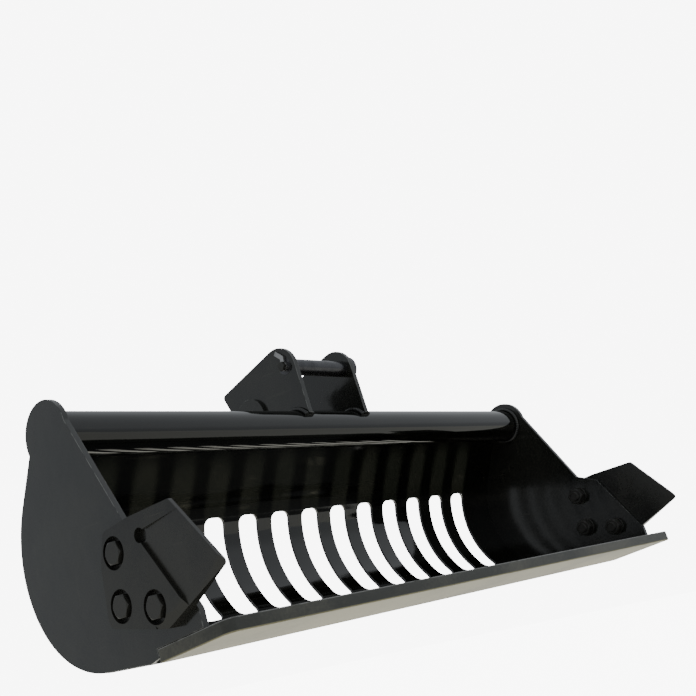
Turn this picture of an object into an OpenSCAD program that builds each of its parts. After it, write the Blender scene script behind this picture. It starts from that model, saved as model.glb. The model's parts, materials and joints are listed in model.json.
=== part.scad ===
// Screening bucket: a slotted scoop with bolted side cutters and two hitch pins.
// The side profile is drawn with U forwards to the mouth and Z up, both measured
// from the axis of the top tube. The model's frame has X along the width, the mouth
// towards -Y and +Z up, with its origin on the ground under the middle.

/* [Bucket] */
// Width over the end plates
bucket_w = 1000; // [800:10:1300]
// Thickness of each end plate
plate_t = 8; // [6:1:12]
// Radius of the top tube
tube_r = 28; // [25:1:31]
// Wall thickness of the top tube
tube_wall = 5; // [3:1:8]
// Leg of the weld beads
weld_leg = 6; // [4:1:7]

/* [Shell] */
// Inside radius of the curved back
shell_r = 131; // [116:1:146]
// Thickness of the slotted sheet
shell_t = 4; // [3:0.5:6]
// Distance of the straight back's outer face from the tube's axis
back_gap = 20.6; // [18:0.2:23]
// Depth of the curve's centre below the tube
belly_drop = 146; // [140:1:152]
// Slope of the upper back, from vertical, in degrees
back_slope = 27; // [25:1:29]
// Number of slots
slot_count = 13; // [9:2:13]
// Width of a slot
slot_w = 37; // [32:1:42]
// Radius of the slots' rounded corners
slot_corner_r = 12; // [8:1:14]
// Distance from an end plate to the nearest slot
slot_margin = 80; // [60:1:90]
// Angle round the curve where the slots begin, in degrees
slot_start_a = 163; // [160:1:170]
// Angle round the curve where the slots end, in degrees
slot_end_a = 230; // [215:1:232]

/* [End plates] */
// Radius of the plate's round head
head_r = 41.5; // [40:0.5:44]
// Height of the shell's outer face over the plate's lower back curve
plate_low_step = 1; // [0.5:0.5:3]
// Width of the plate's edge that stands out behind the shell, higher up
plate_back_lip = 11; // [8:1:15]
// Angle where the two back curves meet, in degrees
plate_join_a = 215; // [205:1:225]
// Distance of the front edge's line from the tube's axis
front_gap = 38.5; // [37:0.5:39.5]
// Slope of the front edge, from vertical, in degrees
front_slope = 31; // [29:1:33]
// Length of the front edge's line
front_run = 170; // [164:1:174]
// Forward position of the shoulder below that line
shoulder_u = 158; // [155:1:161]
// Height of the shoulder over the ground
shoulder_h = 141; // [138:1:143]
// Forward position of the plate's nose
nose_u = 221; // [216:1:224]
// Height of the nose over the ground
nose_h = 45; // [41:1:49]
// Share of the cutting edge's length that lies behind the nose
nose_share = 0.68; // [0.62:0.02:0.74]
// Forward position where the plate's bottom edge turns up
toe_u = 133; // [128:1:138]

/* [Cutting edge] */
// Thickness of the cutting edge
edge_t = 15; // [12:1:18]
// Length of the cutting edge, back to front
edge_l = 114; // [106:1:122]
// Upward slope of the cutting edge, in degrees
edge_slope = 8; // [6:1:10]
// Forward position of its back lower corner
edge_u = 148; // [146:1:151]
// Radius of its worn front corners
edge_corner_r = 12; // [6:1:18]

/* [Ears] */
// Thickness of each ear
ear_t = 8; // [6:1:12]
// Clear gap between the ears
ear_gap = 120; // [100:1:160]
// Radius of the ear's top
ear_top_r = 36; // [33:1:38]
// Forward position where the ear's front edge begins
ear_front_u = 28; // [27:0.5:30]
// Height where the ear's front edge begins
ear_foot_h = 20; // [19:1:23]
// Angle round the tube where the ear's foot begins, in degrees
ear_foot_a = 32; // [30:1:35]
// Share of the tube's radius to which the ear's outline reaches in
ear_root_share = 0.8; // [0.7:0.05:0.9]
// Forward position where the ear's front and top edges would meet
ear_peak_u = 12; // [9:1:15]
// Height where the ear's front and top edges would meet
ear_peak_h = 143; // [140:1:146]
// Backward position of the ear's back corner
ear_back = 148; // [145:1:151]
// Height of the ear's back corner
ear_back_h = 92; // [89:1:95]
// Radius of the ear's back corner
ear_corner_r = 6; // [4:1:8]
// Depth of the ear's lower end on the shell
ear_tail_drop = 84; // [78:1:90]

/* [Hitch pins] */
// Radius of both pins
pin_r = 12.5; // [10:0.5:15]
// Backward position of the front pin
front_pin_back = 3; // [1:0.5:5]
// Height of the front pin
front_pin_h = 99; // [96:0.5:101]
// Backward position of the rear pin
rear_pin_back = 88.5; // [87:0.5:90]
// Height of the rear pin
rear_pin_h = 41; // [39:0.5:43]
// Width of the relief groove at each end of a pin's bearing length
relief_w = 1.5; // [1:0.5:3]
// Depth of that groove
relief_depth = 0.5; // [0.3:0.1:1]
// Outer radius of the rear pin's bosses
boss_r = 30; // [26:1:31]
// Thickness of the rear pin's bosses
boss_t = 6; // [4:1:10]
// Radius of the pins' heads
pin_head_r = 20; // [18:1:23]
// Thickness of the pins' heads
pin_head_t = 8; // [6:1:12]
// Thickness of the lock tabs
tab_t = 4; // [3:1:6]
// Width of the lock tabs
tab_w = 7; // [6:1:10]
// Radius of the lock tabs' eyes
tab_eye_r = 7; // [6.5:0.5:9]
// Length of a lock tab from its eye to its bend
tab_l = 14; // [12:1:18]
// Length of a lock tab beyond its bend
tab_tip_l = 16; // [8:1:18]
// Angle of the bend in the lock tabs, in degrees
tab_bend_a = 50; // [30:5:60]
// Radius of the tab bolts
tab_bolt_r = 4; // [3:0.5:5]
// Width across the flats of the tab bolts' heads
tab_bolt_af = 13; // [11:1:16]
// Height of the tab bolts' heads
tab_bolt_head = 5.5; // [4:0.5:8]
// Length of the tab bolts inside the pins
tab_bolt_l = 20; // [12:1:30]

/* [Side cutters] */
// Thickness of each side cutter
cutter_t = 15; // [13:1:20]
// Forward position of the cutter's back edge
cutter_back_u = 92; // [90:1:94]
// Forward position of its upper back corner
cutter_neck_u = 103; // [100:1:106]
// Height over the ground of its upper back corner
cutter_neck_h = 146; // [143:1:149]
// Height of the bend in its back edge
cutter_bend_h = 110; // [105:1:115]
// Forward position where its top edge bends
cutter_top_u = 147; // [143:1:151]
// Height of its top edge there
cutter_top_h = 153; // [150:1:155]
// Forward position of its peak
cutter_peak_u = 219; // [214:1:224]
// Height of its peak
cutter_peak_h = 158; // [156:1:162]
// Forward position of its tip
cutter_tip_u = 286; // [280:1:290]
// Height of its tip
cutter_tip_h = 82; // [78:1:85]
// Forward position of its heel, where the bevelled edge begins
cutter_heel_u = 184; // [180:1:188]
// Height of its heel
cutter_heel_h = 32; // [31:1:34]
// Height of its lower back corner
cutter_low_h = 45; // [42:1:48]
// Radius of its worn corners
cutter_corner_r = 4; // [3:1:8]
// Radius of the rounded back corners
cutter_back_r = 11; // [8:1:12]
// Forward position of the two back bolts
bolt_back_u = 117; // [115:1:119]
// Height of the upper bolt
bolt_high_h = 121; // [119:1:123]
// Height of the lower back bolt
bolt_low_h = 65; // [64:1:67]
// Forward position of the front bolt
bolt_front_u = 172; // [169:1:174]
// Height of the front bolt
bolt_front_h = 56; // [55:1:58]
// Radius of the cutter bolts
bolt_r = 8; // [6:1:8]
// Width across the flats of the bolt heads and nuts
bolt_af = 24; // [22:1:25]
// Height of the bolt heads
bolt_head_h = 10; // [8:1:11]
// Thickness of the nuts
nut_t = 13; // [10:1:14]
// Radius of the washers
washer_r = 15; // [14:1:17]
// Thickness of the washers
washer_t = 3; // [2:0.5:4]
// Length of bolt beyond its nut
bolt_end = 4; // [2:1:8]
// Radius of the pocket round each bolt head
pocket_r = 18; // [17:0.5:18.5]
// Depth of the pocket round each bolt head
pocket_depth = 8; // [6:1:9]
// Forward position of the step's upper corner
step_u = 157; // [154:1:160]
// Height of the step's upper corner
step_h = 134; // [131:1:137]
// Direction of the step, below horizontal, in degrees
step_a = 53; // [50:1:56]
// Direction of the step's upper side, above horizontal, in degrees
step_top_a = 9; // [6:1:12]
// Depth of the step into the face
step_depth = 4; // [2:0.5:5]
// Distance over which the stepped face comes up again
step_run = 72; // [64:1:80]
// Radius of the relief in the step's upper corner
relief_r = 8; // [5:1:9]
// Depth of the relief in the step's upper corner
relief_cut = 7; // [4:0.5:9]
// Width of the bevel on the lower front edge
bevel_w = 12; // [10:1:14]
// Depth of the bevel on the lower front edge
bevel_depth = 4; // [2:0.5:4]
// Thickness that is left at the front edge, where the inner face tapers away
front_edge_t = 5; // [4.5:0.5:8]
// Distance over which the inner face tapers
taper_run = 74; // [60:1:76]

/* [Fits] */
// Radial clearance of the pins in the ears
pin_clearance = 0.05; // [0.02:0.01:0.1]
// Radial clearance of threads drawn as plain cylinders
thread_gap = 0.1; // [0.05:0.05:0.3]
// Radial clearance of the cutter bolts in their holes
hole_gap = 0.5; // [0.3:0.1:0.8]

/* [Hidden] */
$fn = 96;

function ray(a) = [cos(a), sin(a)];

function unit(v) = v / norm(v);

function turned(v, a) = [v[0] * cos(a) - v[1] * sin(a), v[0] * sin(a) + v[1] * cos(a)];

// Points of the arc of radius r that rounds the corner at b, between a and c
corner_steps = 8;
function corner_arc(a, b, c, r) =
    let (p = unit(a - b), q = unit(c - b), half = acos(p * q) / 2)
    let (centre = b + unit(p + q) * r / sin(half))
    let (from = b + p * r / tan(half) - centre, to = b + q * r / tan(half) - centre)
    let (sweep = sign(cross(from, to)) * (180 - 2 * half))
    [for (i = [0 : corner_steps]) centre + turned(from, sweep * i / corner_steps)];

// Points of an arc about a centre, from one angle to another
arc_steps = 36;
function arc(at, r, a_from, a_to) =
    [for (i = [0 : arc_steps]) at + r * ray(a_from + (a_to - a_from) * i / arc_steps)];

// Outline with each corner rounded by its own radius, or kept sharp at zero
function rounded(points, radii) =
    let (n = len(points))
    [
        for (i = [0 : n - 1])
            each radii[i] == 0
                ? [points[i]]
                : corner_arc(points[(i + n - 1) % n], points[i], points[(i + 1) % n], radii[i])
    ];

// Places across the width
half_w = bucket_w / 2;
inner_x = half_w - plate_t;
cutter_x = half_w + cutter_t;
ear_inner_x = ear_gap / 2;
ear_outer_x = ear_inner_x + ear_t;
boss_outer_x = ear_outer_x + boss_t;

// Places in the side profile
outer_r = shell_r + shell_t;
floor_z = -(belly_drop + outer_r);
back_a = 180 - back_slope;
belly = [(back_gap - outer_r + belly_drop * sin(back_a)) / cos(back_a), -belly_drop];
behind_a = back_a + acos(back_gap / tube_r);
plate_low_r = outer_r - plate_low_step;
plate_back_r = outer_r + plate_back_lip;
front_pin_at = [-front_pin_back, front_pin_h];
rear_pin_at = [-rear_pin_back, rear_pin_h];
cutter_bolts_at = [
    [bolt_back_u, floor_z + bolt_high_h],
    [bolt_back_u, floor_z + bolt_low_h],
    [bolt_front_u, floor_z + bolt_front_h]
];
step_at = [step_u, floor_z + step_h];
relief_at = step_at + relief_r * ray((step_top_a - step_a) / 2);
heel_at = [cutter_heel_u, floor_z + cutter_heel_h];
tip_at = [cutter_tip_u, floor_z + cutter_tip_h];
peak_at = [cutter_peak_u, floor_z + cutter_peak_h];

// Slots: how far round the curve each straight-punched end reaches, and their places across
slot_tip_a = slot_w / 2 / shell_r * 180 / PI;
slots_w = 2 * (inner_x - slot_margin) - slot_w;
slots_at = [for (i = [0 : slot_count - 1]) slots_w * (i / (slot_count - 1) - 0.5)];

// Point of the cutting edge, along it from its back lower corner and up through it
function edge_point(along, up) =
    [edge_u, floor_z] + along * ray(edge_slope) + up * ray(edge_slope + 90);

cutter_outline = rounded(
    [
        [cutter_neck_u, floor_z + cutter_neck_h],
        [cutter_back_u, floor_z + cutter_bend_h],
        [cutter_back_u, floor_z + cutter_low_h],
        heel_at,
        tip_at,
        peak_at,
        [cutter_top_u, floor_z + cutter_top_h]
    ],
    [cutter_back_r, cutter_back_r, cutter_back_r, cutter_corner_r,
        cutter_corner_r, cutter_corner_r, cutter_back_r]
);

ear_outline = rounded(
    [
        tube_r * ear_root_share * ray(ear_foot_a),
        [ear_front_u, ear_foot_h],
        [ear_peak_u, ear_peak_h],
        [-ear_back, ear_back_h],
        [(back_gap + ear_tail_drop * sin(back_a)) / cos(back_a), -ear_tail_drop],
        back_gap * ray(back_a)
    ],
    [0, 0, ear_top_r, ear_corner_r, 0, 0]
);

front_reach = max([for (p = cutter_outline) p[0]]);
back_reach = min([for (p = ear_outline) p[0]]);
centre_u = (front_reach + back_reach) / 2;

// Puts what is drawn in the side profile's plane into the model's frame
module in_profile() {
    translate([0, centre_u, -floor_z])
        rotate([90, 0, -90])
            children();
}

// Side profile stretched across the width from one x to another
module across(x_from, x_to) {
    in_profile()
        translate([0, 0, -x_to])
            linear_extrude(height = x_to - x_from)
                children();
}

// Round bar across the width through a point of the side profile
module bar_at(at, x_from, x_to, r) {
    in_profile()
        translate([at[0], at[1], -x_to])
            cylinder(r = r, h = x_to - x_from);
}

// Hexagonal bar across the width, from its width across the flats
module hex_at(at, x_from, x_to, across_flats) {
    in_profile()
        translate([at[0], at[1], -x_to])
            cylinder(d = across_flats / cos(30), h = x_to - x_from, $fn = 6);
}

module on_right() {
    mirror([1, 0, 0])
        children();
}

// End plates

module plate_outline() {
    back_centre = belly + (plate_low_r - plate_back_r) * ray(plate_join_a);
    back_line = back_centre * ray(back_a) + plate_back_r;
    front_line_foot = front_gap * ray(front_slope);
    circle(head_r);
    difference() {
        polygon([
            back_line * ray(back_a),
            each arc(back_centre, plate_back_r, back_a, plate_join_a),
            each arc(belly, plate_low_r, plate_join_a, 270),
            [toe_u, -belly_drop - plate_low_r],
            edge_point(edge_t, edge_t / 2),
            edge_point(edge_l * nose_share, edge_t / 2),
            [nose_u, floor_z + nose_h],
            [shoulder_u, floor_z + shoulder_h],
            front_line_foot + front_run * ray(front_slope - 90),
            front_line_foot
        ]);
        translate([edge_u, floor_z])
            rotate(edge_slope)
                square([edge_l, edge_t]);
    }
}

module left_end_plate() {
    color("#2b2c2c")
        difference() {
            across(-half_w, -inner_x)
                plate_outline();
            for (at = cutter_bolts_at)
                bar_at(at, -half_w, -inner_x, bolt_r + hole_gap);
        }
}

module right_end_plate() {
    on_right()
        left_end_plate();
}

// Top tube

module top_tube() {
    color("#1c1d1f")
        difference() {
            bar_at([0, 0], -inner_x, inner_x, tube_r);
            bar_at([0, 0], -inner_x, inner_x, tube_r - tube_wall);
        }
}

// Fillet bead round the tube, leaning against a face at x and growing towards +X
module tube_bead(x, a_from, a_to) {
    in_profile()
        translate([0, 0, -x])
            rotate([0, 0, a_from])
                rotate_extrude(angle = a_to - a_from)
                    polygon([[tube_r, 0], [tube_r + weld_leg, 0], [tube_r, -weld_leg]]);
}

module left_tube_weld() {
    under_a = back_a + acos((back_gap - shell_t) / (tube_r + weld_leg));
    color("#232425")
        tube_bead(-inner_x, under_a - 360, behind_a);
}

module right_tube_weld() {
    on_right()
        left_tube_weld();
}

// Slotted shell

module shell_outline() {
    polygon([
        (back_gap - shell_t) * ray(back_a),
        each arc(belly, shell_r, back_a, 270),
        [edge_u, floor_z + shell_t],
        [edge_u, floor_z],
        each arc(belly, outer_r, 270, back_a),
        back_gap * ray(back_a)
    ]);
}

// Puts what is drawn about the curve's axis at a distance x across the width
module about_belly(x) {
    in_profile()
        translate([belly[0], belly[1], -x])
            children();
}

// Straight-sided stretch of one slot, bent round the curve
module slot_channel(x) {
    about_belly(x)
        rotate([0, 0, slot_start_a + slot_tip_a])
            rotate_extrude(angle = slot_end_a - slot_start_a - 2 * slot_tip_a)
                translate([shell_r - shell_t, -slot_w / 2])
                    square([3 * shell_t, slot_w]);
}

// Square as wide as a slot, with rounded corners
module slot_end_outline() {
    inset = slot_w / 2 - slot_corner_r;
    square([slot_w, 2 * inset], center = true);
    square([2 * inset, slot_w], center = true);
    for (side = [-1, 1], end = [-1, 1])
        translate([inset * side, inset * end])
            circle(slot_corner_r);
}

// Both ends of one slot, punched straight through the sheet
module slot_tips(x) {
    about_belly(x)
        for (a = [slot_start_a + slot_tip_a, slot_end_a - slot_tip_a])
            rotate([0, 0, a])
                translate([shell_r - shell_t, 0, 0])
                    rotate([0, 90, 0])
                        linear_extrude(height = 3 * shell_t)
                            slot_end_outline();
}

module slotted_shell() {
    color("#17181a")
        difference() {
            difference() {
                across(-inner_x, inner_x)
                    shell_outline();
                bar_at([0, 0], -inner_x, inner_x, tube_r);
                edge_body();
                for (x = slots_at)
                    slot_channel(x);
            }
            for (x = slots_at)
                slot_tips(x);
        }
}

// Cutting edge and its welds

module edge_frame() {
    in_profile()
        translate([edge_u, floor_z, 0])
            rotate([0, 0, edge_slope])
                children();
}

module edge_body() {
    edge_frame()
        rotate([-90, 0, 0])
            linear_extrude(height = edge_t) {
                translate([0, -half_w])
                    square([edge_l - edge_corner_r, bucket_w]);
                translate([0, -half_w + edge_corner_r])
                    square([edge_l, bucket_w - 2 * edge_corner_r]);
                for (side = [-1, 1])
                    translate([edge_l - edge_corner_r, side * (half_w - edge_corner_r)])
                        circle(edge_corner_r);
            }
}

module cutting_edge() {
    color("#5f5f58")
        edge_body();
}

module cutting_edge_weld() {
    heel = edge_point(0, edge_t);
    color("#232425")
        difference() {
            across(-inner_x, inner_x)
                polygon([heel, [heel[0] - 2 * weld_leg, floor_z + shell_t], [edge_u, floor_z + shell_t]]);
            edge_body();
        }
}

// Bead inside the plate's foot, on top of the cutting edge
module left_foot_weld() {
    color("#232425")
        edge_frame()
            translate([weld_leg, edge_t, inner_x])
                rotate([90, 0, 90])
                    linear_extrude(height = edge_l * nose_share - 2 * weld_leg)
                        polygon([[0, 0], [weld_leg, 0], [0, -weld_leg]]);
}

module right_foot_weld() {
    on_right()
        left_foot_weld();
}

// Ears

module left_ear() {
    color("#2e3030")
        difference() {
            across(-ear_outer_x, -ear_inner_x)
                difference() {
                    polygon(ear_outline);
                    circle(tube_r);
                }
            for (at = [front_pin_at, rear_pin_at])
                bar_at(at, -ear_outer_x, -ear_inner_x, pin_r + pin_clearance);
        }
}

module right_ear() {
    on_right()
        left_ear();
}

// Beads on both faces of an ear, where it stands on the tube
module left_ear_welds() {
    color("#232425") {
        tube_bead(-ear_inner_x, ear_foot_a, behind_a);
        on_right()
            tube_bead(ear_outer_x, ear_foot_a, behind_a);
    }
}

module right_ear_welds() {
    on_right()
        left_ear_welds();
}

module left_rear_boss() {
    color("#2e3030")
        difference() {
            bar_at(rear_pin_at, -boss_outer_x, -ear_outer_x, boss_r);
            bar_at(rear_pin_at, -boss_outer_x, -ear_outer_x, pin_r + pin_clearance);
        }
}

module right_rear_boss() {
    on_right()
        left_rear_boss();
}

// Hitch pins: each has a head at its far end and a threaded hole in its near end

module hitch_pin(at, reach) {
    bearing_x = ear_inner_x - relief_w;
    color("#3a3b3d")
        difference() {
            union() {
                bar_at(at, -reach, reach, pin_r - relief_depth);
                bar_at(at, -reach, -ear_inner_x, pin_r);
                bar_at(at, -bearing_x, bearing_x, pin_r);
                bar_at(at, ear_inner_x, reach, pin_r);
                bar_at(at, reach, reach + pin_head_t, pin_head_r);
            }
            bar_at(at, -reach, -reach + tab_bolt_l + tab_t, tab_bolt_r + thread_gap);
        }
}

// Flat tab with an eye, a straight stretch at one angle and a bent tip
module lock_tab(at, reach, a) {
    color("#8d8f8c")
        difference() {
            across(-reach - tab_t, -reach)
                translate(at)
                    rotate(a) {
                        circle(tab_eye_r);
                        translate([0, -tab_w / 2])
                            square([tab_l, tab_w]);
                        translate([tab_l, 0]) {
                            circle(tab_w / 2);
                            rotate(tab_bend_a)
                                translate([0, -tab_w / 2])
                                    square([tab_tip_l, tab_w]);
                        }
                    }
            bar_at(at, -reach - tab_t, -reach, tab_bolt_r + thread_gap);
        }
}

module tab_bolt(at, reach) {
    color("#4a4b4a") {
        bar_at(at, -reach - tab_t, -reach + tab_bolt_l, tab_bolt_r);
        hex_at(at, -reach - tab_t - tab_bolt_head, -reach - tab_t, tab_bolt_af);
    }
}

module front_pin() {
    hitch_pin(front_pin_at, ear_outer_x);
}

module front_lock_tab() {
    lock_tab(front_pin_at, ear_outer_x, 90);
}

module front_tab_bolt() {
    tab_bolt(front_pin_at, ear_outer_x);
}

module rear_pin() {
    hitch_pin(rear_pin_at, boss_outer_x);
}

module rear_lock_tab() {
    lock_tab(rear_pin_at, boss_outer_x, 180);
}

module rear_tab_bolt() {
    tab_bolt(rear_pin_at, boss_outer_x);
}

// Side cutters and their fasteners

// Space in front of the step, rising from its full depth back to the face
module step_space() {
    reach = 2 * step_run;
    intersection() {
        across(-cutter_x - cutter_t, -half_w)
            polygon([
                step_at,
                step_at + reach * ray(-step_a),
                step_at + 2 * reach * ray((step_top_a - step_a) / 2),
                step_at + reach * ray(step_top_a)
            ]);
        in_profile()
            translate([step_at[0], step_at[1], cutter_x])
                rotate([0, 0, -step_a])
                    translate([-reach, 0, -step_depth])
                        rotate([atan(step_depth / step_run), 0, 0])
                            cube([2 * reach, reach, cutter_t]);
    }
}

module bevel_space() {
    edge_line = tip_at - heel_at;
    in_profile()
        translate([heel_at[0], heel_at[1], cutter_x])
            rotate([0, 0, atan2(edge_line[1], edge_line[0])])
                translate([-bevel_w, 0, -bevel_depth])
                    rotate([atan(bevel_depth / bevel_w), 0, 0])
                        translate([0, -bevel_w, 0])
                            cube([norm(edge_line) + 2 * bevel_w, 3 * bevel_w, cutter_t]);
}

// Space on the inner side, where the face tapers towards the front edge
module taper_space() {
    front_line = peak_at - tip_at;
    in_profile()
        translate([tip_at[0], tip_at[1], cutter_x - front_edge_t])
            rotate([0, 0, atan2(front_line[1], front_line[0])])
                rotate([-atan((cutter_t - front_edge_t) / taper_run), 0, 0])
                    translate([-taper_run, -taper_run, -2 * cutter_t])
                        cube([norm(front_line) + 2 * taper_run, 3 * taper_run, 2 * cutter_t]);
}

module left_side_cutter() {
    color("#3b3b3a")
        difference() {
            across(-cutter_x, -half_w)
                polygon(cutter_outline);
            step_space();
            bevel_space();
            taper_space();
            bar_at(relief_at, -cutter_x, -cutter_x + relief_cut, relief_r);
            for (at = cutter_bolts_at) {
                bar_at(at, -cutter_x, -half_w, bolt_r + hole_gap);
                bar_at(at, -cutter_x, -cutter_x + pocket_depth, pocket_r);
            }
        }
}

module left_cutter_bolts() {
    seat_x = -cutter_x + pocket_depth;
    color("#333433")
        for (at = cutter_bolts_at) {
            hex_at(at, seat_x - bolt_head_h, seat_x, bolt_af);
            bar_at(at, seat_x, -inner_x + washer_t + nut_t + bolt_end, bolt_r);
        }
}

module left_cutter_washers() {
    color("#333433")
        for (at = cutter_bolts_at)
            difference() {
                bar_at(at, -inner_x, -inner_x + washer_t, washer_r);
                bar_at(at, -inner_x, -inner_x + washer_t, bolt_r + hole_gap);
            }
}

module left_cutter_nuts() {
    from_x = -inner_x + washer_t;
    color("#4a4b4a")
        for (at = cutter_bolts_at)
            difference() {
                hex_at(at, from_x, from_x + nut_t, bolt_af);
                bar_at(at, from_x, from_x + nut_t, bolt_r + thread_gap);
            }
}

module right_side_cutter() {
    on_right()
        left_side_cutter();
}

module right_cutter_bolts() {
    on_right()
        left_cutter_bolts();
}

module right_cutter_washers() {
    on_right()
        left_cutter_washers();
}

module right_cutter_nuts() {
    on_right()
        left_cutter_nuts();
}

left_end_plate();
right_end_plate();
top_tube();
left_tube_weld();
right_tube_weld();
slotted_shell();
cutting_edge();
cutting_edge_weld();
left_foot_weld();
right_foot_weld();
left_ear();
right_ear();
left_ear_welds();
right_ear_welds();
left_rear_boss();
right_rear_boss();
front_pin();
front_lock_tab();
front_tab_bolt();
rear_pin();
rear_lock_tab();
rear_tab_bolt();
left_side_cutter();
left_cutter_bolts();
left_cutter_washers();
left_cutter_nuts();
right_side_cutter();
right_cutter_bolts();
right_cutter_washers();
right_cutter_nuts();
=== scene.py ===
"""Looks of the screening bucket: rounded edges, weld beads, threads, paint, wear and a plain studio."""

import json
import math

import bpy
from bpy.props import FloatProperty, FloatVectorProperty, PointerProperty
from mathutils import Matrix, Vector


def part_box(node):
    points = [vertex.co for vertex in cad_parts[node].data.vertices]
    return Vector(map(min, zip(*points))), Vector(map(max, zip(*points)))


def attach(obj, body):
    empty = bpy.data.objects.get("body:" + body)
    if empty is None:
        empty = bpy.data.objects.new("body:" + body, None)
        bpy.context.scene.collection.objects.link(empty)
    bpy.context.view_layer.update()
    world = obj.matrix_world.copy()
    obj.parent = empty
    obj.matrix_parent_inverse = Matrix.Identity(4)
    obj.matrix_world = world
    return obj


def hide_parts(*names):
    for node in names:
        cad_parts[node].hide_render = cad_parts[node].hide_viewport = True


bl_info = {
    "name": "Screening bucket looks",
    "version": (1, 0, 0),
    "blender": (4, 5, 0),
    "location": "View3D > Sidebar > Bucket",
    "description": "Rounded edges, weld beads, threads, paint and wear for the screening bucket",
    "category": "Object",
}

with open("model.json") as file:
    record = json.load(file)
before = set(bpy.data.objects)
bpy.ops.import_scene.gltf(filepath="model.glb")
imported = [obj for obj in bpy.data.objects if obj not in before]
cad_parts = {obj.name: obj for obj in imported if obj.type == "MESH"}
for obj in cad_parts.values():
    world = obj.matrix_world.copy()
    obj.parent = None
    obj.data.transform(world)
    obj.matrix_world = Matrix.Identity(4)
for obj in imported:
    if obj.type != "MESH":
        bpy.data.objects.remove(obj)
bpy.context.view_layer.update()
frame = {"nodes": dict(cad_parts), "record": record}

MM = 0.001
QUARTER_TURN = math.pi / 2
SIDES = {"left": -1, "right": 1}


def middle(node):
    """Middle of a CAD node's box."""
    low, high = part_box(node)
    return (low + high) / 2


# Places read from the frame
TUBE = middle("top_tube")
TUBE_R = (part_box("top_tube")[1].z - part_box("top_tube")[0].z) / 2
PLATE_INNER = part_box("right_end_plate")[0].x
EAR_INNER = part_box("right_ear")[0].x
EAR_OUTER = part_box("right_ear")[1].x

# Sizes that the CAD pieces have
BLADE_SLOPE = math.radians(8)
BOLT_FLATS = 24 * MM
BOLT_HEAD = 10 * MM
BOLT_R = 8 * MM
BOLT_PAST_NUT = 4 * MM
NUT_LENGTH = 13 * MM
NUT_BORE_R = 8.1 * MM
TAB_BOLT_FLATS = 13 * MM
TAB_BOLT_HEAD = 5.5 * MM
TAB_BOLT_R = 3.9 * MM

# Copied meshes: the gap that is closed, and the angles that count as flat, smooth and sharp
MERGE_GAP = 0.01 * MM
FLAT_ANGLE = math.radians(0.5)
SMOOTH_ANGLE = math.radians(30)
SHARP_ANGLE = math.radians(32)

# Heads and nuts: the circle on their ends as a share of the flats, and the lean of the cone round it
HEX_END_SHARE = 0.48
HEX_CONE_LEAN = math.radians(60)

# Threads: core and tip stay inside the CAD bolt, the ridge starts in the nut, and shares are of the pitch
BOLT_CORE_R = 7.5 * MM
BOLT_TIP_GAP = 0.5 * MM
THREAD_FROM_TIP = 5 * MM
THREAD_TURNS = 2
THREAD_DEPTH_SHARE = 0.35
THREAD_CREST_SHARE = 0.45
THREAD_FOOT_SHARE = 0.9

# Weld beads: how thin they are between ripples, and how a ripple grows over shares of its pitch
BEAD_CORNERS = 12
BEAD_THIN_SHARE = 0.86
BEAD_MERGE_GAP = 0.05 * MM
RIPPLE_SWELL = 1.12
RIPPLE_CREST = 1.04
RIPPLE_SHARES = (0.25, 0.4, 0.35)

# Weld paths: how deep a bead sinks into its corner, and its span in degrees from the mouth's side upwards
WELD_SINK = 2 * MM
PLATE_WELD_SPAN = (-142, 194)
EAR_WELD_SPAN = (35, 192)
TUBE_WELD_STEPS = 72
FOOT_WELD_STEPS = 12
REAR_WELD_STEPS = 40

# Floor: its size, and where the part of it starts and ends that lights the bucket from behind
FLOOR_DROP = 0.45
FLOOR_R = 8.0
FLOOR_T = 20 * MM
BEHIND_Y = (0.0, 0.4)
BEHIND_X = (-0.56, -0.40)

# Sky: from which height to which its light grows, and from where behind the bucket to where in front
SKY_Z = (0.0, 0.25)
SKY_Y = (0.6, 0.1)

# Low lamp, and the colours of the light
LAMP_PLACE = (0.12, 0.13, 10 * MM - FLOOR_DROP)
LAMP_SIZE = (1.3, 0.14)
LAMP_SPREAD = math.radians(6)
WHITE = (1.0, 1.0, 1.0)
WARM = (1.04, 1.0, 0.85)
COOL = (0.95, 1.0, 1.04)

# Camera: its place, and the directions that are right and up in the picture
VIEW_PLACE = Vector((-1.20682, -0.98563, 0.01798))
VIEW_RIGHT = Vector((0.65584, -0.72768, -0.20096))
VIEW_UP = Vector((-0.04525, -0.30367, 0.95171))
VIEW_LENS = 54.666
VIEW_NEAR = 0.05


# Sizes, colours and lights that can be changed


def length(name, description, default):
    return FloatProperty(name=name, description=description, default=default, min=0, unit="LENGTH")


def colour(name, description, default):
    return FloatVectorProperty(
        name=name, description=description, default=default,
        size=3, min=0, max=1, subtype="COLOR")


def share(name, description, default):
    return FloatProperty(
        name=name, description=description + ", as a share of the backdrop",
        default=default, min=0, max=1, subtype="FACTOR")


class BucketSizes(bpy.types.PropertyGroup):
    plate: length("Plate edges", "Rounding of the end plates, ears and bosses", 0.6 * MM)
    cutter: length("Cutter edges", "Rounding of the side cutters", 1.0 * MM)
    sheet: length("Sheet edges", "Rounding of the slotted shell and the tube", 0.4 * MM)
    blade: length("Cutting edge", "Rounding of the cutting edge", 1.4 * MM)
    small: length("Small pieces", "Rounding of the pins and lock tabs", 0.6 * MM)
    washer: length("Washers", "Rounding of the cutter washers", 0.3 * MM)
    bead: length("Weld bead", "Radius of the rippled weld beads", 4.2 * MM)
    ripple: length("Weld ripple", "Distance from one ripple of a bead to the next", 3.2 * MM)
    thread: length("Thread pitch", "Distance from one thread of a bolt to the next", 2.0 * MM)


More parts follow.
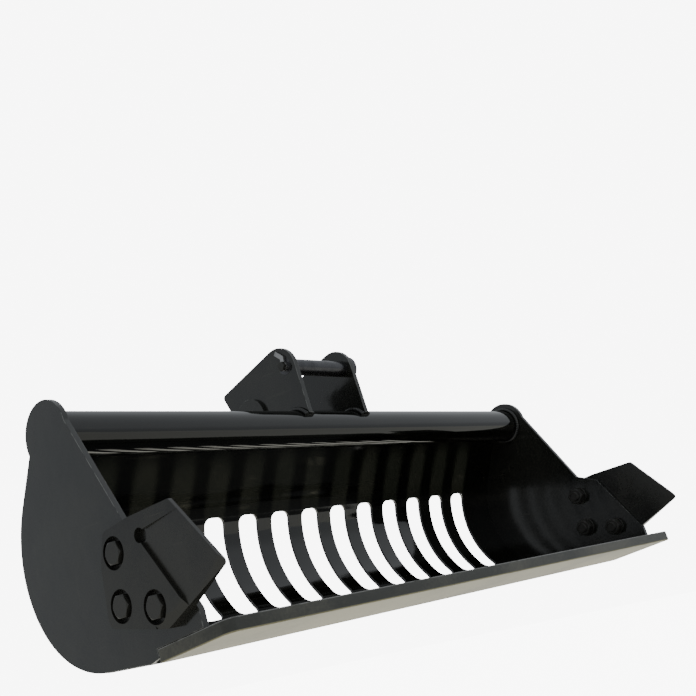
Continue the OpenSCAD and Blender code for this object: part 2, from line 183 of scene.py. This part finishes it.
class BucketColours(bpy.types.PropertyGroup):
    gloss: colour("Gloss paint", "Paint on the shell, the tube and the welds", (0.0020, 0.0022, 0.0016))
    satin: colour("Satin paint", "Paint on the end plates, ears and bosses", (0.0055, 0.006, 0.0055))
    cutter: colour("Cutter paint", "Paint on the side cutters", (0.0065, 0.0065, 0.006))
    dust: colour("Dust", "Dry dust that dulls the paint", (0.10, 0.095, 0.07))
    worn: colour("Worn edges", "Steel that shows where paint has worn off", (0.13, 0.13, 0.125))
    steel: colour("Bare steel", "Underside of the cutting edge", (0.20, 0.182, 0.105))
    strip: colour("Edge strip", "Thin paint on front and top of the cutting edge", (0.013, 0.014, 0.010))
    pin: colour("Pins", "Steel of the hitch pins", (0.07, 0.07, 0.075))
    zinc: colour("Zinc", "Lock tabs", (0.30, 0.30, 0.30))
    fastener: colour("Fasteners", "Bolts, washers and nuts", (0.009, 0.009, 0.009))
    floor: colour("Floor", "Floor under the bucket", (0.86, 0.84, 0.77))


class BucketLight(bpy.types.PropertyGroup):
    shown: FloatProperty(
        name="Backdrop", description="Brightness of the floor and surround as the camera sees them",
        default=8.0, min=0)
    sky: share("Sky", "Light from above", 0.11)
    horizon: share("Horizon", "Light from all round", 0.082)
    floor: share("Floor", "Light from the whole floor", 0.03)
    below: share("Floor behind", "Light from the floor behind", 0.13)
    low: FloatProperty(
        name="Low light", description="Power of the narrow light under the slots",
        default=4.5, min=0, unit="POWER")


def sizes():
    return bpy.context.scene.bucket_sizes


def colours():
    return bpy.context.scene.bucket_colours


def light():
    return bpy.context.scene.bucket_light


# Objects, selecting and editing


def new_object(name, data):
    """An object with this data, in the scene."""
    obj = bpy.data.objects.new(name, data)
    bpy.context.scene.collection.objects.link(obj)
    return obj


def deselect_all():
    active = bpy.context.view_layer.objects.active
    if active and active.mode != "OBJECT":
        bpy.ops.object.mode_set(mode="OBJECT")
    bpy.ops.object.select_all(action="DESELECT")


def select_only(*objects):
    deselect_all()
    for obj in objects:
        obj.select_set(True)
    bpy.context.view_layer.objects.active = objects[0]


def edit_all(obj):
    """Opens a piece in edit mode with all of it selected."""
    select_only(obj)
    bpy.ops.object.mode_set(mode="EDIT")
    bpy.ops.mesh.select_all(action="SELECT")


def leave_edit():
    bpy.ops.object.mode_set(mode="OBJECT")


def apply_all(obj):
    """Applies all of a piece's modifiers."""
    select_only(obj)
    for modifier in list(obj.modifiers):
        bpy.ops.object.modifier_apply(modifier=modifier.name)


def join(name, *objects):
    select_only(*objects)
    if len(objects) > 1:
        bpy.ops.object.join()
    objects[0].name = name
    objects[0].data.name = name
    return objects[0]


def settled():
    """The primitive that was just added, with its place put into its mesh."""
    obj = bpy.context.view_layer.objects.active
    select_only(obj)
    bpy.ops.object.transform_apply(location=True, rotation=True, scale=True)
    return obj


def close_ends(obj, corners):
    """Fills the ends of an open tube with this many corners, and turns its faces outwards."""
    edit_all(obj)
    bpy.ops.mesh.fill_holes(sides=corners)
    bpy.ops.mesh.normals_make_consistent(inside=False)
    leave_edit()


def cut(obj, tool, operation):
    """Cuts a piece by a boolean operation with a tool, which is then removed."""
    modifier = obj.modifiers.new("cut", "BOOLEAN")
    modifier.operation = operation
    modifier.object = tool
    modifier.solver = "EXACT"
    apply_all(obj)
    bpy.data.objects.remove(tool)


def smooth(obj):
    select_only(obj)
    bpy.ops.object.shade_smooth_by_angle(angle=SMOOTH_ANGLE)


def finish_piece(obj, body, slot, node):
    """Gives a piece its finish and the body it rides on, and lets it stand for a CAD node."""
    obj.data.materials.clear()
    obj.data.materials.append(MATERIALS[slot])
    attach(obj, body)
    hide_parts(node)


# Pieces made from a CAD node


def merged_copy(node, name):
    """A copy of a CAD node with its points merged and its flat faces whole."""
    obj = new_object(name, frame["nodes"][node].data.copy())
    edit_all(obj)
    bpy.ops.mesh.remove_doubles(threshold=MERGE_GAP)
    bpy.ops.mesh.customdata_custom_splitnormals_clear()
    bpy.ops.mesh.dissolve_limited(angle_limit=FLAT_ANGLE)
    leave_edit()
    return obj


def round_edges(obj, width):
    """Rounds the sharp edges, and marks as worn the faces that the rounding made."""
    bevel = obj.modifiers.new("rounding", "BEVEL")
    bevel.width = width
    bevel.segments = 2
    bevel.limit_method = "ANGLE"
    bevel.angle_limit = SHARP_ANGLE
    bevel.material = 1
    obj.data.materials.clear()
    obj.data.materials.append(None)
    obj.data.materials.append(None)
    apply_all(obj)
    worn = obj.data.attributes.new("worn", "FLOAT", "FACE")
    for face in obj.data.polygons:
        worn.data[face.index].value = float(face.material_index)
        face.material_index = 0


def rounded(node, width, body="bucket"):
    """A CAD node's shape with rounded edges, which replaces the node."""
    slot = next(s["material_slot"] for s in frame["record"]["subparts"] if s["node"] == node)
    obj = merged_copy(node, node + "_finish")
    round_edges(obj, width)
    smooth(obj)
    evened = obj.modifiers.new("even shading", "WEIGHTED_NORMAL")
    evened.keep_sharp = True
    apply_all(obj)
    finish_piece(obj, body, slot, node)


# Shader nodes


def give(tree, socket, value):
    """Links a socket to another one, or sets it to a number, place or colour."""
    if isinstance(value, bpy.types.NodeSocket):
        tree.links.new(value, socket)
    else:
        socket.default_value = value


def fill(tree, node, **values):
    """Gives a node's inputs their values; an input's name has _ for a space."""
    for name, value in values.items():
        give(tree, node.inputs[name.replace("_", " ")], value)
    return node


def put(tree, kind, **values):
    """Adds a shader node, and gives its inputs their values."""
    return fill(tree, tree.nodes.new("ShaderNode" + kind), **values)


def maths(tree, operation, a, b):
    """Result of one sum, kept between 0 and 1."""
    made = put(tree, "Math")
    made.operation = operation
    made.use_clamp = True
    give(tree, made.inputs[0], a)
    give(tree, made.inputs[1], b)
    return made.outputs["Value"]


def plus(tree, a, b):
    return maths(tree, "ADD", a, b)


def times(tree, a, b):
    return maths(tree, "MULTIPLY", a, b)


def lifted(tree, value, amount):
    """Value raised by as much as the amount is over a half."""
    return plus(tree, value, maths(tree, "SUBTRACT", amount, 0.5))


def ramp(tree, value, low, high):
    """0 where the value is at its low end and 1 at its high end, with a smooth change between."""
    made = put(tree, "MapRange", Value=value, From_Min=low, From_Max=high)
    made.interpolation_type = "SMOOTHSTEP"
    return made.outputs["Result"]


def between(tree, mask, a, b):
    """Number a where the mask is 0, b where it is 1."""
    return put(tree, "MapRange", Value=mask, To_Min=a, To_Max=b).outputs["Result"]


def blend(tree, mask, a, b):
    """Colour a where the mask is 0, b where it is 1."""
    made = put(tree, "Mix")
    made.data_type = "RGBA"
    give(tree, made.inputs["Factor"], mask)
    pair = [s for s in made.inputs if s.type == "RGBA"]
    for socket, value in zip(pair, (a, b)):
        give(tree, socket, value if isinstance(value, bpy.types.NodeSocket) else (*value, 1))
    return next(s for s in made.outputs if s.type == "RGBA")


def scaled(tint, factor):
    """A colour made lighter or darker."""
    return tuple(factor * part for part in tint)


def object_place(tree):
    return put(tree, "TexCoord").outputs["Object"]


def stretched(tree, where, scale, turn=(0.0, 0.0, 0.0)):
    """Places turned, then scaled along each axis, for a pattern that is longer one way."""
    return put(tree, "Mapping", Vector=where, Rotation=turn, Scale=scale).outputs["Vector"]


def noise(tree, where, scale, detail=4.0, roughness=0.55):
    made = put(tree, "TexNoise", Vector=where, Scale=scale, Detail=detail, Roughness=roughness)
    return made.outputs["Fac"]


def bump(tree, height, strength, distance):
    return put(tree, "Bump", Height=height, Strength=strength, Distance=distance).outputs["Normal"]


# Effects that several materials share

GROUPS = {}


def new_group(name, inputs):
    """An empty node group, and the sockets that carry its inputs in."""
    group = bpy.data.node_groups.new(name, "ShaderNodeTree")
    for socket, default in inputs.items():
        made = group.interface.new_socket(name=socket, in_out="INPUT", socket_type="NodeSocketFloat")
        made.default_value = default
    group.interface.new_socket(name="Mask", in_out="OUTPUT", socket_type="NodeSocketFloat")
    GROUPS[name] = group
    return group, group.nodes.new("NodeGroupInput").outputs


def put_out(group, mask):
    """Makes a mask the group's output."""
    end = group.nodes.new("NodeGroupOutput")
    group.links.new(mask, end.inputs["Mask"])


def masked(tree, name, **values):
    """Mask that a shared effect gives with these values."""
    made = put(tree, "Group")
    made.node_tree = GROUPS[name]
    return fill(tree, made, **values).outputs["Mask"]


def build_smears():
    """Cloudy patches where dust or oil dulls a finish."""
    group, given = new_group("Smears", {"Scale": 9.0, "Cover": 0.5})
    where = object_place(group)
    wide = noise(group, where, given["Scale"], detail=6.0, roughness=0.6)
    fine = noise(group, where, 240.0, detail=3.0)
    wide_share = 0.8
    mixed = plus(group, times(group, wide, wide_share), times(group, fine, 1 - wide_share))
    put_out(group, ramp(group, lifted(group, mixed, given["Cover"]), low=0.42, high=0.68))


def build_scratches():
    """Fine scratches in two directions, in patches."""
    group, given = new_group("Scratches", {"Cover": 0.5})
    where = object_place(group)
    masks = []
    for lean, scale in ((0.5, (9.0, 9.0, 260.0)), (-0.7, (12.0, 180.0, 12.0))):
        lines = stretched(group, where, scale, turn=(lean, lean * 0.6, lean * 0.3))
        fine = noise(group, lines, 1.0, detail=2.0, roughness=0.4)
        masks.append(ramp(group, fine, low=0.66, high=0.72))
    both = maths(group, "MAXIMUM", *masks)
    patches = ramp(group, noise(group, where, 14.0), low=0.45, high=0.65)
    put_out(group, times(group, times(group, both, patches), given["Cover"]))


def build_edge_wear():
    """Places along rounded edges where paint has rubbed through."""
    group, given = new_group("Edge wear", {"Amount": 0.5})
    marked = put(group, "Attribute")
    marked.attribute_name = "worn"
    broken = noise(group, object_place(group), 70.0, detail=5.0, roughness=0.7)
    rubbed = ramp(group, lifted(group, broken, given["Amount"]), low=0.42, high=0.58)
    put_out(group, times(group, marked.outputs["Fac"], rubbed))


# Materials

MATERIALS = {}


def new_material(name):
    """An empty material's tree and shader; the material is kept under its name."""
    made = bpy.data.materials.new(name)
    made.use_nodes = True
    MATERIALS[name] = made
    tree = made.node_tree
    tree.nodes.clear()
    shader = put(tree, "BsdfPrincipled")
    put(tree, "OutputMaterial", Surface=shader.outputs["BSDF"])
    return tree, shader


def paint(name, base, rough, wear, dust, scratch, wave, ior=1.5):
    """Sprayed paint with dust, scratches and worn edges, on plate that is slightly wavy.

    rough is the roughness of clean and of smeared paint, and wave the height of the plate's waves.
    """
    scratch_dust = 0.35
    scratch_rough = 0.2
    worn_rough = 0.15
    worn_metal = 0.8
    wave_share = 0.96
    tree, shader = new_material(name)
    where = object_place(tree)
    smears = masked(tree, "Smears", Scale=7.0, Cover=0.5 + dust)
    scratches = masked(tree, "Scratches", Cover=scratch)
    worn = masked(tree, "Edge wear", Amount=wear)
    coat = blend(tree, times(tree, smears, dust), base, colours().dust)
    coat = blend(tree, times(tree, scratches, scratch_dust), coat, colours().dust)
    coat = blend(tree, worn, coat, colours().worn)
    dull = plus(tree, between(tree, smears, *rough), times(tree, scratches, scratch_rough))
    skin = noise(tree, where, 420.0, detail=2.0)
    waves = noise(tree, stretched(tree, where, (0.2, 1.0, 1.0)), 26.0, detail=2.0)
    height = plus(tree, times(tree, skin, 1 - wave_share), times(tree, waves, wave_share))
    fill(tree, shader,
         Base_Color=coat,
         Roughness=plus(tree, dull, times(tree, worn, worn_rough)),
         Metallic=times(tree, worn, worn_metal),
         IOR=ior,
         Normal=bump(tree, height, strength=1.0, distance=wave))


def grained_steel(name, base, rough, grain):
    """Bare or plated steel; grain is how close its fine pattern is along each axis."""
    smeared_shade = 0.6
    tree, shader = new_material(name)
    smears = masked(tree, "Smears", Scale=24.0, Cover=0.5)
    lines = noise(tree, stretched(tree, object_place(tree), grain), 1.0, detail=3.0)
    fill(tree, shader,
         Base_Color=blend(tree, smears, base, scaled(base, smeared_shade)),
         Roughness=between(tree, smears, *rough),
         Metallic=0.9,
         Normal=bump(tree, lines, strength=0.3, distance=0.2 * MM))


def blade_steel(name):
    """Cutting edge: bare scuffed steel below, thin dark paint in front and above."""
    paint_starts = 0.6 * MM
    paint_covers = 1.6 * MM
    smeared_shade = 0.55
    scratched_shade = 1.5
    bare_rough = 0.42
    painted_rough = 0.35
    bare_metal = 0.6
    painted_metal = 0.1
    tree, shader = new_material(name)
    where = object_place(tree)
    low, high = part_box("cutting_edge")
    upwards = Vector((0, math.sin(BLADE_SLOPE), math.cos(BLADE_SLOPE)))
    underside = Vector((0, high.y, low.z)).dot(upwards)
    rise = put(tree, "VectorMath")
    rise.operation = "DOT_PRODUCT"
    give(tree, rise.inputs[0], where)
    give(tree, rise.inputs[1], tuple(upwards))
    painted = ramp(tree, rise.outputs["Value"], underside + paint_starts, underside + paint_covers)
    smears = masked(tree, "Smears", Scale=5.0, Cover=0.5)
    scratches = masked(tree, "Scratches", Cover=1.0)
    worn = masked(tree, "Edge wear", Amount=0.6)
    steel = colours().steel
    bare = blend(tree, smears, steel, scaled(steel, smeared_shade))
    bare = blend(tree, times(tree, scratches, 0.6), bare, scaled(steel, scratched_shade))
    coat = blend(tree, times(tree, smears, 0.5), colours().strip, colours().dust)
    coat = blend(tree, worn, coat, colours().worn)
    lines = noise(tree, stretched(tree, where, (20.0, 300.0, 300.0)), 1.0)
    fill(tree, shader,
         Base_Color=blend(tree, painted, bare, coat),
         Roughness=between(tree, painted, bare_rough, painted_rough),
         Metallic=between(tree, painted, bare_metal, painted_metal),
         Normal=bump(tree, lines, strength=0.35, distance=0.5 * MM))


class BUCKET_OT_finishes(bpy.types.Operator):
    """Makes the paints and steels that the pieces use"""

    bl_idname = "bucket.finishes"
    bl_label = "Finishes"

    def execute(self, context):
        build_smears()
        build_scratches()
        build_edge_wear()
        tints = colours()
        paint("gloss_black", tints.gloss, rough=(0.03, 0.08),
              wear=0.15, dust=0.018, scratch=0.15, wave=0.6 * MM)
        paint("satin_black", tints.satin, rough=(0.10, 0.18),
              wear=0.12, dust=0.06, scratch=0.2, wave=0.36 * MM)
        paint("cutter_paint", tints.cutter, rough=(0.20, 0.32),
              wear=0.45, dust=0.08, scratch=0.4, wave=0.36 * MM, ior=1.40)
        paint("dark_steel", tints.fastener, rough=(0.30, 0.42),
              wear=0.40, dust=0.10, scratch=0.3, wave=0.24 * MM, ior=1.38)
        grained_steel("pin_steel", tints.pin, rough=(0.25, 0.4), grain=(40.0, 400.0, 400.0))
        grained_steel("bright_steel", tints.zinc, rough=(0.28, 0.4), grain=(300.0, 300.0, 60.0))
        blade_steel("worn_steel")
        return {"FINISHED"}


# Plates, shell, hitch and cutters


class BUCKET_OT_plates(bpy.types.Operator):
    """Makes the two end plates"""

    bl_idname = "bucket.plates"
    bl_label = "End plates"

    def execute(self, context):
        for side in SIDES:
            rounded(side + "_end_plate", sizes().plate)
        return {"FINISHED"}


class BUCKET_OT_shell(bpy.types.Operator):
    """Makes the slotted shell and the top tube"""

    bl_idname = "bucket.shell"
    bl_label = "Shell and tube"

    def execute(self, context):
        rounded("slotted_shell", sizes().sheet)
        rounded("top_tube", sizes().sheet)
        return {"FINISHED"}


class BUCKET_OT_cutting_edge(bpy.types.Operator):
    """Makes the cutting edge"""

    bl_idname = "bucket.cutting_edge"
    bl_label = "Cutting edge"

    def execute(self, context):
        rounded("cutting_edge", sizes().blade)
        return {"FINISHED"}


class BUCKET_OT_ears(bpy.types.Operator):
    """Makes the hitch ears and the bosses round the rear pin"""

    bl_idname = "bucket.ears"
    bl_label = "Ears and bosses"

    def execute(self, context):
        for side in SIDES:
            rounded(side + "_ear", sizes().plate)
            rounded(side + "_rear_boss", sizes().plate)
        return {"FINISHED"}


class BUCKET_OT_pins(bpy.types.Operator):
    """Makes the hitch pins and their lock tabs"""

    bl_idname = "bucket.pins"
    bl_label = "Pins and tabs"

    def execute(self, context):
        for place in ("front", "rear"):
            rounded(place + "_pin", sizes().small, body=place + "_pin")
            rounded(place + "_lock_tab", sizes().small)
        return {"FINISHED"}


class BUCKET_OT_cutters(bpy.types.Operator):
    """Makes the side cutters and their washers"""

    bl_idname = "bucket.cutters"
    bl_label = "Side cutters"

    def execute(self, context):
        for side in SIDES:
            rounded(side + "_side_cutter", sizes().cutter)
            rounded(side + "_cutter_washers", sizes().washer)
        return {"FINISHED"}


# Bolts and nuts


def bar(x_from, x_to, place, radius, corners=48):
    """Bar along X between two places; with 6 corners it is a hexagon."""
    deselect_all()
    bpy.ops.mesh.primitive_cylinder_add(
        vertices=corners, radius=radius, depth=abs(x_to - x_from),
        location=((x_from + x_to) / 2, place.y, place.z), rotation=(0, QUARTER_TURN, 0))
    return settled()


def hexagon(x_end, x_back, place, flats):
    """Hexagon along X for a head or a nut, its corners turned off to a cone at x_end."""
    obj = bar(x_end, x_back, place, flats / math.sqrt(3), corners=6)
    depth = 2 * abs(x_back - x_end)
    end_r = flats * HEX_END_SHARE
    deselect_all()
    bpy.ops.mesh.primitive_cone_add(
        vertices=64, radius1=end_r + depth * math.tan(HEX_CONE_LEAN), radius2=end_r, depth=depth,
        location=(x_back, place.y, place.z),
        rotation=(0, math.copysign(QUARTER_TURN, x_end - x_back), 0))
    cut(obj, settled(), "INTERSECT")
    return obj


def thread(x_from, way, place, radius):
    """One closed ridge wound round a bolt, from x_from along way."""
    pitch = sizes().thread
    root = radius - pitch * THREAD_DEPTH_SHARE
    crest_at = way * pitch * THREAD_CREST_SHARE
    foot_at = way * pitch * THREAD_FOOT_SHARE
    corners = [(0, 0, root), (crest_at, 0, radius), (foot_at, 0, root)]
    mesh = bpy.data.meshes.new("thread")
    mesh.from_pydata(corners, [(0, 1), (1, 2), (2, 0)], [])
    obj = new_object("thread", mesh)
    wind = obj.modifiers.new("wind", "SCREW")
    wind.axis = "X"
    wind.screw_offset = way * pitch
    wind.iterations = THREAD_TURNS
    wind.steps = 32
    wind.render_steps = 32
    wind.use_merge_vertices = True
    apply_all(obj)
    close_ends(obj, corners=4)
    obj.data.transform(Matrix.Translation((x_from, place.y, place.z)))
    return obj


def cutter_bolt(head_end, tip, way, place):
    """Pieces of a cutter bolt, from its head outside to its tip; way points outside."""
    head_back = head_end - way * BOLT_HEAD
    head = hexagon(head_end, head_back, place, BOLT_FLATS)
    shank = bar(head_back, tip + way * BOLT_TIP_GAP, place, BOLT_CORE_R)
    ridge = thread(tip + way * THREAD_FROM_TIP, -way, place, BOLT_R)
    return [head, shank, ridge]


def cutter_nut(tip, way, place):
    """Nut near the tip of a cutter bolt, with its bore; way points outside."""
    free_end = tip + way * BOLT_PAST_NUT
    seat = free_end + way * NUT_LENGTH
    nut = hexagon(free_end, seat, place, BOLT_FLATS)
    bore = bar(free_end - way * NUT_LENGTH, seat + way * NUT_LENGTH, place, NUT_BORE_R)
    cut(nut, bore, "DIFFERENCE")
    return nut


def tab_bolt(node):
    """Pieces of the bolt that holds a lock tab; its head is at the low end of X."""
    low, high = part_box(node)
    head_back = low.x + TAB_BOLT_HEAD
    head = hexagon(low.x, head_back, middle(node), TAB_BOLT_FLATS)
    shank = bar(head_back, high.x, middle(node), TAB_BOLT_R)
    return [head, shank]


def solid_places(node):
    """Middle of each separate solid of a CAD node."""
    edit_all(merged_copy(node, "probe"))
    bpy.ops.mesh.separate(type="LOOSE")
    leave_edit()
    places = []
    for part in list(bpy.context.selected_objects):
        corners = [Vector(c) for c in part.bound_box]
        places.append(sum(corners, Vector()) / len(corners))
        bpy.data.objects.remove(part)
    return sorted(places, key=lambda p: (round(p.y, 4), round(p.z, 4)))


def stand_for(node, slot, pieces):
    """Joins new pieces that carry no edge wear, and lets them stand for a CAD node."""
    obj = join(node + "_finish", *pieces)
    smooth(obj)
    obj.data.attributes.new("worn", "FLOAT", "FACE")
    finish_piece(obj, "bucket", slot, node)


class BUCKET_OT_fasteners(bpy.types.Operator):
    """Makes the cutter bolts with their nuts, and the tab bolts"""

    bl_idname = "bucket.fasteners"
    bl_label = "Bolts and nuts"

    def execute(self, context):
        for side, way in SIDES.items():
            bolts = []
            nuts = []
            low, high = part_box(side + "_cutter_bolts")
            head_end, tip = (low.x, high.x) if way < 0 else (high.x, low.x)
            for place in solid_places(side + "_cutter_nuts"):
                bolts += cutter_bolt(head_end, tip, way, place)
                nuts.append(cutter_nut(tip, way, place))
            stand_for(side + "_cutter_bolts", "dark_steel", bolts)
            stand_for(side + "_cutter_nuts", "dark_steel", nuts)
        for place in ("front", "rear"):
            stand_for(place + "_tab_bolt", "dark_steel", tab_bolt(place + "_tab_bolt"))
        return {"FINISHED"}


# Weld beads


def path_curve(points):
    data = bpy.data.curves.new("path", "CURVE")
    data.dimensions = "3D"
    data.twist_mode = "MINIMUM"
    spline = data.splines.new("POLY")
    spline.points.add(len(points) - 1)
    for spot, place in zip(spline.points, points):
        spot.co = (*place, 1)
    return new_object("path", data)


def one_ripple(radius, pitch):
    """Piece of a bead that swells and narrows once over a pitch, along X from the origin."""
    deselect_all()
    bpy.ops.mesh.primitive_circle_add(
        vertices=BEAD_CORNERS, radius=radius * BEAD_THIN_SHARE, rotation=(0, QUARTER_TURN, 0))
    obj = settled()
    edit_all(obj)
    growths = (RIPPLE_SWELL, RIPPLE_CREST, 1 / (RIPPLE_SWELL * RIPPLE_CREST))
    for step, growth in zip(RIPPLE_SHARES, growths):
        bpy.ops.mesh.extrude_region_move(TRANSFORM_OT_translate={"value": (pitch * step, 0, 0)})
        bpy.ops.transform.resize(value=(1, growth, growth), center_override=(0, 0, 0))
    leave_edit()
    return obj


def bead(points):
    """Rippled weld bead along a path: one ripple, repeated, then bent along the path."""
    length_along = sum((b - a).length for a, b in zip(points, points[1:]))
    count = max(2, round(length_along / sizes().ripple))
    pitch = length_along / count
    obj = one_ripple(sizes().bead, pitch)
    repeat = obj.modifiers.new("repeat", "ARRAY")
    repeat.count = count
    repeat.use_relative_offset = False
    repeat.use_constant_offset = True
    repeat.constant_offset_displace = (pitch, 0, 0)
    repeat.use_merge_vertices = True
    repeat.merge_threshold = BEAD_MERGE_GAP
    apply_all(obj)
    close_ends(obj, BEAD_CORNERS)
    path = path_curve(points)
    follow = obj.modifiers.new("follow", "CURVE")
    follow.object = path
    follow.deform_axis = "POS_X"
    apply_all(obj)
    bpy.data.objects.remove(path)
    return obj


def round_tube(x, span):
    """Points of a bead round the tube, through a span of degrees from the mouth's side upwards."""
    start, end = span
    radius = TUBE_R + WELD_SINK
    points = []
    for i in range(TUBE_WELD_STEPS + 1):
        turn = math.radians(start + (end - start) * i / TUBE_WELD_STEPS)
        points.append(Vector((x, TUBE.y - radius * math.cos(turn), TUBE.z + radius * math.sin(turn))))
    return points


def straight(a, b, steps):
    return [a.lerp(b, i / steps) for i in range(steps + 1)]


def foot_line(node, x):
    """Points of a bead along the cutting edge's end, from the back to the front."""
    low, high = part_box(node)
    back = Vector((x, high.y, low.z + WELD_SINK))
    front = back + Vector((0, low.y - high.y, (high.y - low.y) * math.tan(BLADE_SLOPE)))
    return straight(back, front, FOOT_WELD_STEPS)


def rear_line(node):
    """Points of a bead behind the cutting edge, from end to end."""
    low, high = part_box(node)
    left = Vector((low.x + sizes().bead, (low.y + high.y) / 2, low.z + WELD_SINK))
    right = Vector((high.x - sizes().bead, left.y, left.z))
    return straight(left, right, REAR_WELD_STEPS)


class BUCKET_OT_welds(bpy.types.Operator):
    """Makes the rippled weld beads"""

    bl_idname = "bucket.welds"
    bl_label = "Weld beads"

    def execute(self, context):
        for side, way in SIDES.items():
            at_plate = way * (PLATE_INNER - WELD_SINK)
            ear_faces = (EAR_INNER - WELD_SINK, EAR_OUTER + WELD_SINK)
            stand_for(side + "_tube_weld", "gloss_black", [bead(round_tube(at_plate, PLATE_WELD_SPAN))])
            stand_for(side + "_ear_welds", "gloss_black",
                      [bead(round_tube(way * face, EAR_WELD_SPAN)) for face in ear_faces])
            stand_for(side + "_foot_weld", "gloss_black", [bead(foot_line(side + "_foot_weld", at_plate))])
        stand_for("cutting_edge_weld", "gloss_black", [bead(rear_line("cutting_edge_weld"))])
        return {"FINISHED"}


# Stage


def shown_and_given(tree, mask, low, high, tint):
    """White to the camera; where it lights the object, the tint from low to high as the mask says."""
    seen = put(tree, "LightPath").outputs["Is Camera Ray"]
    given = blend(tree, mask, scaled(tint, low), scaled(tint, high))
    return blend(tree, seen, given, WHITE)


def pale_floor():
    """Wide round floor with a small rim, below the bucket."""
    deselect_all()
    bpy.ops.mesh.primitive_circle_add(
        vertices=96, radius=FLOOR_R, fill_type="NGON", location=(0, 0, -FLOOR_DROP))
    obj = settled()
    obj.name = "studio_floor"
    edit_all(obj)
    bpy.ops.mesh.extrude_region_move(TRANSFORM_OT_translate={"value": (0, 0, -FLOOR_T)})
    bpy.ops.mesh.select_all(action="SELECT")
    bpy.ops.mesh.normals_make_consistent(inside=False)
    leave_edit()
    tree, shader = new_material("pale_floor")
    place = put(tree, "SeparateXYZ", Vector=object_place(tree)).outputs
    behind = times(tree, ramp(tree, place["Y"], *BEHIND_Y), ramp(tree, place["X"], *BEHIND_X))
    fill(tree, shader,
         Base_Color=(*colours().floor, 1),
         Roughness=0.8,
         Emission_Color=shown_and_given(tree, behind, light().floor, light().below, WARM),
         Emission_Strength=light().shown)
    obj.data.materials.append(MATERIALS["pale_floor"])


def sky_dome():
    """Surround that is white to the camera and gives a soft light from above the horizon."""
    world = bpy.data.worlds.new("studio")
    world.use_nodes = True
    tree = world.node_tree
    facing = put(tree, "SeparateXYZ", Vector=put(tree, "TexCoord").outputs["Generated"]).outputs
    high = times(tree, ramp(tree, facing["Z"], *SKY_Z), ramp(tree, facing["Y"], *SKY_Y))
    fill(tree, tree.nodes["Background"],
         Color=shown_and_given(tree, high, light().horizon, light().sky, COOL),
         Strength=light().shown)
    bpy.context.scene.world = world


def low_lamp():
    """Narrow lamp on the floor that shines up through the slots."""
    data = bpy.data.lights.new("low_light", "AREA")
    data.shape = "RECTANGLE"
    data.size, data.size_y = LAMP_SIZE
    data.energy = light().low
    data.spread = LAMP_SPREAD
    obj = new_object("low_light", data)
    obj.location = LAMP_PLACE
    obj.rotation_euler = Vector((0, 0, 1)).to_track_quat("-Z", "Y").to_euler()


def camera():
    """Camera at the photo's viewing angle."""
    data = bpy.data.cameras.new("view")
    data.lens = VIEW_LENS
    data.clip_start = VIEW_NEAR
    obj = new_object("view", data)
    turn = Matrix((VIEW_RIGHT, VIEW_UP, VIEW_RIGHT.cross(VIEW_UP))).transposed().to_4x4()
    obj.matrix_world = Matrix.Translation(VIEW_PLACE) @ turn
    bpy.context.scene.camera = obj


class BUCKET_OT_stage(bpy.types.Operator):
    """Makes the pale floor, the soft light and the camera"""

    bl_idname = "bucket.stage"
    bl_label = "Stage"

    def execute(self, context):
        pale_floor()
        sky_dome()
        low_lamp()
        camera()
        return {"FINISHED"}


# Add-on


class BUCKET_PT_panel(bpy.types.Panel):
    """Lists the bucket's sizes, colours, lights and pieces"""

    bl_idname = "BUCKET_PT_panel"
    bl_label = "Screening bucket"
    bl_space_type = "VIEW_3D"
    bl_region_type = "UI"
    bl_category = "Bucket"

    def draw(self, context):
        for group in (sizes(), colours(), light()):
            box = self.layout.box()
            for key in group.bl_rna.properties.keys():
                if key not in ("rna_type", "name"):
                    box.prop(group, key)
        for operator in OPERATORS:
            self.layout.operator(operator.bl_idname)


OPERATORS = (
    BUCKET_OT_finishes, BUCKET_OT_plates, BUCKET_OT_shell, BUCKET_OT_cutting_edge, BUCKET_OT_ears,
    BUCKET_OT_pins, BUCKET_OT_cutters, BUCKET_OT_fasteners, BUCKET_OT_welds, BUCKET_OT_stage)
CLASSES = (BucketSizes, BucketColours, BucketLight, *OPERATORS, BUCKET_PT_panel)


def register():
    for cls in CLASSES:
        bpy.utils.register_class(cls)
    bpy.types.Scene.bucket_sizes = PointerProperty(type=BucketSizes)
    bpy.types.Scene.bucket_colours = PointerProperty(type=BucketColours)
    bpy.types.Scene.bucket_light = PointerProperty(type=BucketLight)


def unregister():
    del bpy.types.Scene.bucket_light
    del bpy.types.Scene.bucket_colours
    del bpy.types.Scene.bucket_sizes
    for cls in reversed(CLASSES):
        bpy.utils.unregister_class(cls)


def main():
    register()
    bpy.ops.bucket.finishes()
    bpy.ops.bucket.plates()
    bpy.ops.bucket.shell()
    bpy.ops.bucket.cutting_edge()
    bpy.ops.bucket.ears()
    bpy.ops.bucket.pins()
    bpy.ops.bucket.cutters()
    bpy.ops.bucket.fasteners()
    bpy.ops.bucket.welds()
    bpy.ops.bucket.stage()


if __name__ == "__main__":
    main()
